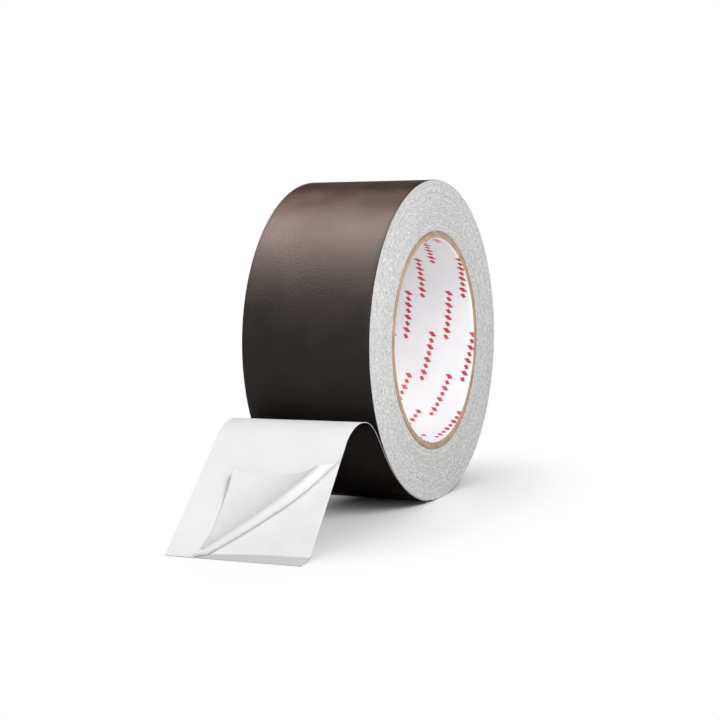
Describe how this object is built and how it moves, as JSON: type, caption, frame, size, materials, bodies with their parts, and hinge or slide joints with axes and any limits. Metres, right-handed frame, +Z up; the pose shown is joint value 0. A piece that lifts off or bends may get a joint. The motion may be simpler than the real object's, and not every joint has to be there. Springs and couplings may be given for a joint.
{
  "type": "adhesive foil tape roll",
  "caption": "Wide black foil tape wound on a paper core with a lined bore, standing on its rim, its free end arched out to the floor and one corner of the white release liner peeled back",
  "frame": {"origin": "on the floor, under the middle of the roll's axis, at the middle of the flat facet the roll stands on", "axes": "+X along the roll's axis, +Y away from the free end, +Z up"},
  "size_m": [0.05, 0.1764, 0.12],
  "materials": {
    "core_lining": "white printed paper lining",
    "core_kraft": "spiral-wound kraft board, rough cut edge",
    "wound_tape": "matt black foil face, pale finely layered sides",
    "tape_film": "matt black with a fine embossed grain and a warm sheen",
    "tape_adhesive": "white tacky adhesive",
    "tape_liner": "smooth white release paper",
    "liner_release_side": "light grey release side, soft sheen"
  },
  "bodies": {
    "lead": {"web_film": "tape_film", "web_adhesive": "tape_adhesive", "web_liner": "tape_liner"},
    "roll": {"core_lining": "core_lining", "core_inner_ply": "core_kraft", "core_middle_ply": "core_kraft", "core_outer_ply": "core_kraft", "wound_tape": "wound_tape"},
    "tail": {"tail_film": "tape_film", "tail_adhesive": "tape_adhesive", "tail_liner": "tape_liner", "liner_curl": "tape_liner"},
    "flap": {"liner_flap": "liner_release_side"}
  },
  "joints": [
    {"name": "roll_turn", "type": "hinge", "parent": "lead", "child": "roll", "pos_m": [0, 0, 0.06], "axis": [1, 0, 0], "continuous": true},
    {"name": "tail_lift", "type": "hinge", "parent": "lead", "child": "tail", "pos_m": [0, -0.0685, 0.03875], "axis": [-1, 0, 0], "range_deg": [0, 45]},
    {"name": "flap_lift", "type": "hinge", "parent": "tail", "child": "flap", "pos_m": [-0.01796, -0.11102, 0.00712], "axis": [0.7912, 0.4248, 0.4399], "range_deg": [0, 60]}
  ]
}
